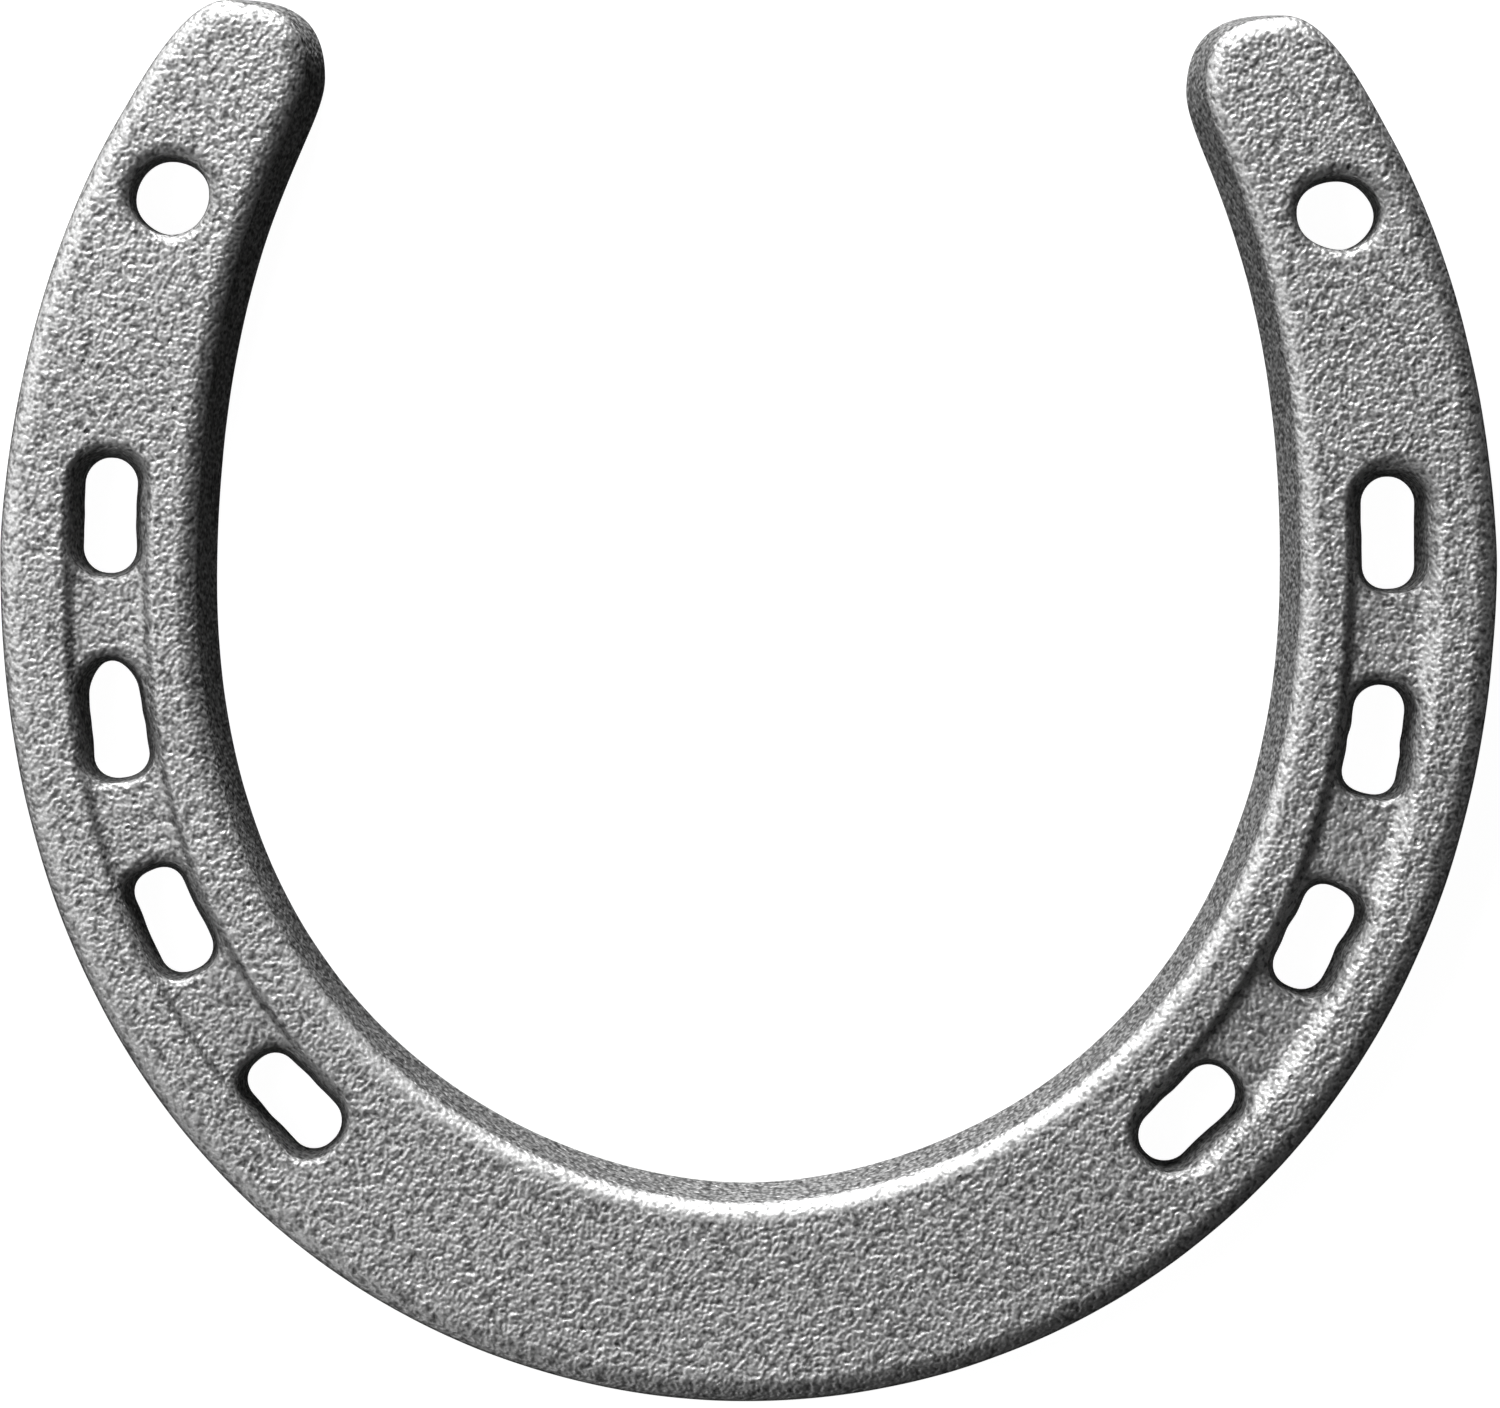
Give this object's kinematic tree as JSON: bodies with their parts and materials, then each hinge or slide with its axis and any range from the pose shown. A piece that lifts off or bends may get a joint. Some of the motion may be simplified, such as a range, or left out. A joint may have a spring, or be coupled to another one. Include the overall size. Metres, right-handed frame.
{
  "type": "horseshoe",
  "caption": "One-piece cast horseshoe with rounded heels, nail slots set in a shallow fuller along each branch, and a round hole near each heel.",
  "frame": {"origin": "under the middle of the shoe's outline, on the plane of the hoof face that it lies on", "axes": "+X to the right across the branches, the toe at -Y and the heels at +Y, +Z out of the ground face, which carries the fuller"},
  "size_m": [0.1296, 0.1206, 0.008],
  "materials": {
    "cast_metal": "bare silver-grey casting with a fine wrinkled skin, satin"
  },
  "bodies": {
    "root": {"horseshoe": "cast_metal"}
  },
  "joints": []
}
